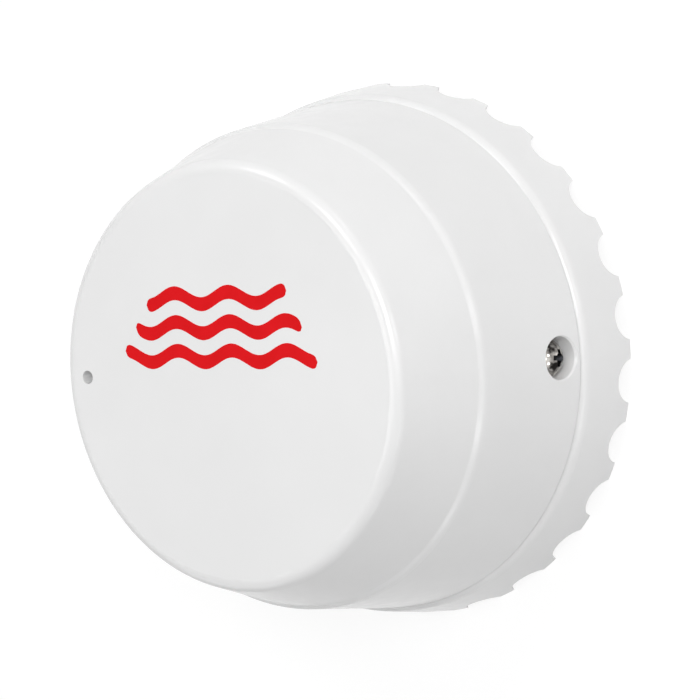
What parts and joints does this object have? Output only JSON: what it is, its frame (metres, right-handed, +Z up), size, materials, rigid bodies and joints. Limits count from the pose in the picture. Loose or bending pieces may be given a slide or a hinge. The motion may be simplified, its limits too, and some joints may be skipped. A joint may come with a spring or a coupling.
{
  "type": "water leak sensor",
  "caption": "Round stepped conical water leak sensor: moulded shell on a base with an arched rim, side cover screws, pinhole reset button and metal probes underneath.",
  "frame": {"origin": "centre of the bottom rim, on the floor that the sensor rests on", "axes": "+Z up along the housing's axis towards the round face, +X towards the right cover screw, the pinhole on the -X side"},
  "size_m": [0.0704, 0.0704, 0.036],
  "materials": {
    "white_abs": "injection moulded, fine satin gloss",
    "seal_rubber": "moulded, matt",
    "screw_steel": "cold-headed stainless steel, bright",
    "board_laminate": "glass laminate under green solder mask",
    "module_laminate": "glass laminate under blue solder mask",
    "nickel_sheet": "pressed, nickel plated",
    "chip_resin": "moulded epoxy",
    "can_aluminium": "drawn can",
    "led_resin": "cast clear resin",
    "button_plastic": "moulded",
    "tray_plastic": "moulded",
    "cell_jacket": "shrink film over a steel can",
    "probe_steel": "turned stainless steel",
    "pin_brass": "turned, gold flash"
  },
  "bodies": {
    "housing": {"top_shell": "white_abs", "base": "white_abs", "housing_seal": "seal_rubber", "circuit_board": "board_laminate", "board_screws": "screw_steel", "wifi_module": "module_laminate", "wifi_shield": "nickel_sheet", "power_chip": "chip_resin", "sounder": "chip_resin", "capacitor": "can_aluminium", "status_led": "led_resin", "reset_switch": "chip_resin", "battery_tray": "tray_plastic", "cell_right": "cell_jacket", "cell_left": "cell_jacket", "positive_contact": "nickel_sheet", "negative_contact": "nickel_sheet", "link_contact": "nickel_sheet", "water_probes": "probe_steel", "probe_seals": "seal_rubber", "probe_nuts": "probe_steel", "contact_pins": "pin_brass"},
    "right_screw_ring": {"screw_seal_right": "seal_rubber"},
    "right_screw": {"cover_screw_right": "screw_steel"},
    "left_screw_ring": {"screw_seal_left": "seal_rubber"},
    "left_screw": {"cover_screw_left": "screw_steel"},
    "reset_button": {"reset_button": "button_plastic"}
  },
  "joints": [
    {"name": "right_screw_travel", "type": "slide", "parent": "housing", "child": "right_screw_ring", "axis": [1, 0, 0], "range_m": [0, 0.006]},
    {"name": "right_screw_turn", "type": "hinge", "parent": "right_screw_ring", "child": "right_screw", "pos_m": [0.0305, 0, 0.0117], "axis": [1, 0, 0], "range_deg": [0, 2160]},
    {"name": "left_screw_travel", "type": "slide", "parent": "housing", "child": "left_screw_ring", "axis": [-1, 0, 0], "range_m": [0, 0.006]},
    {"name": "left_screw_turn", "type": "hinge", "parent": "left_screw_ring", "child": "left_screw", "pos_m": [-0.0305, 0, 0.0117], "axis": [-1, 0, 0], "range_deg": [0, 2160]},
    {"name": "reset_press", "type": "slide", "parent": "housing", "child": "reset_button", "axis": [0, 0, -1], "range_m": [0, 0.00025], "stiffness_N_per_m": 3000, "springref_m": -0.0002}
  ],
  "couplings": [
    {"joint": "right_screw_turn", "follows": "right_screw_travel", "rad_per_m": 6283.2},
    {"joint": "left_screw_turn", "follows": "left_screw_travel", "rad_per_m": 6283.2}
  ]
}
